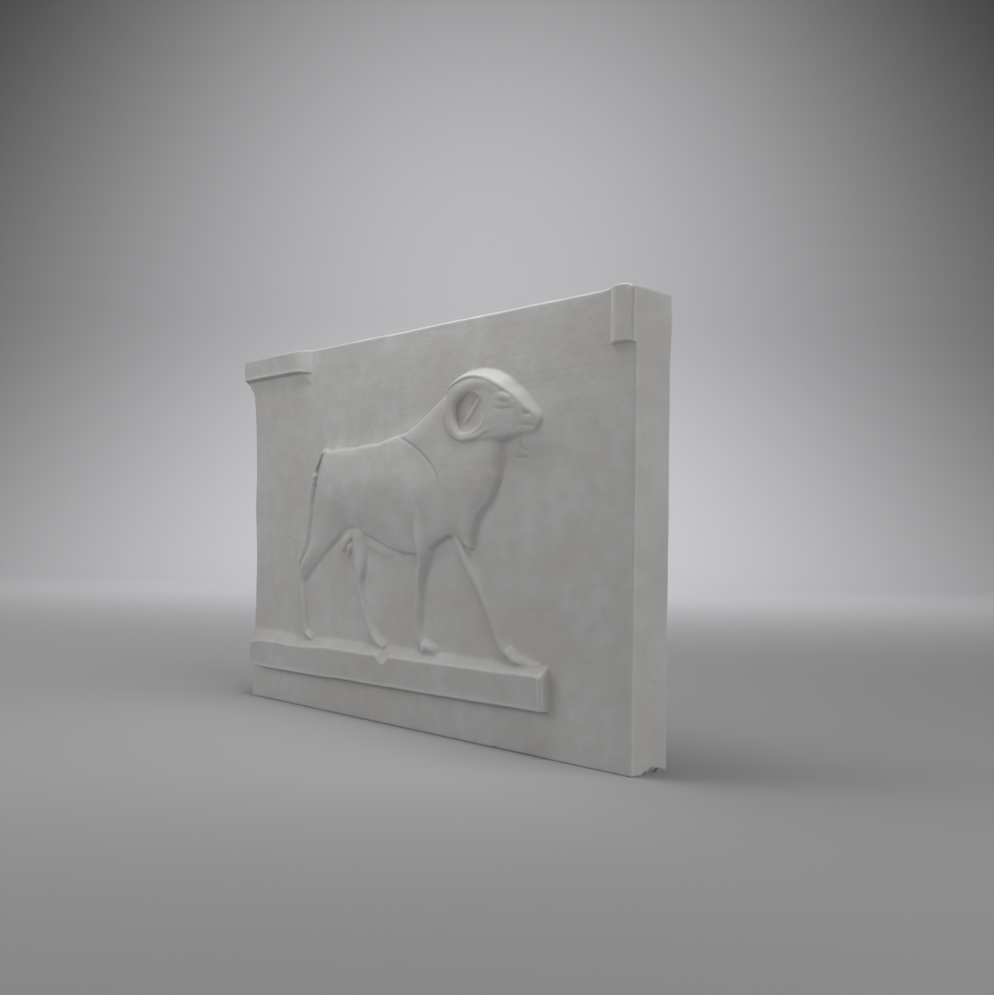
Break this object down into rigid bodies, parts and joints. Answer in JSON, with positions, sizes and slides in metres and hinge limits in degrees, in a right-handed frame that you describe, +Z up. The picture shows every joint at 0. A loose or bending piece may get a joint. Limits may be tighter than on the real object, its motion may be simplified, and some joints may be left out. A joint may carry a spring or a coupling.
{
  "type": "plaster relief plaque",
  "caption": "Small oblong plaster cast with a walking ram in low relief on a raised bar, raised blocks in its top corners and a flat back; stands on its lower edge.",
  "frame": {"origin": "on the surface it stands on, under the middle of its box", "axes": "+Z up, +X along the plaque towards the ram's head, -Y out of the carved face, +Y out of the flat back"},
  "size_m": [0.2126, 0.0208, 0.14],
  "materials": {
    "plaster": "matt cast plaster, warm grey white, slightly worn and handled"
  },
  "bodies": {
    "root": {"plaque": "plaster"}
  },
  "joints": []
}
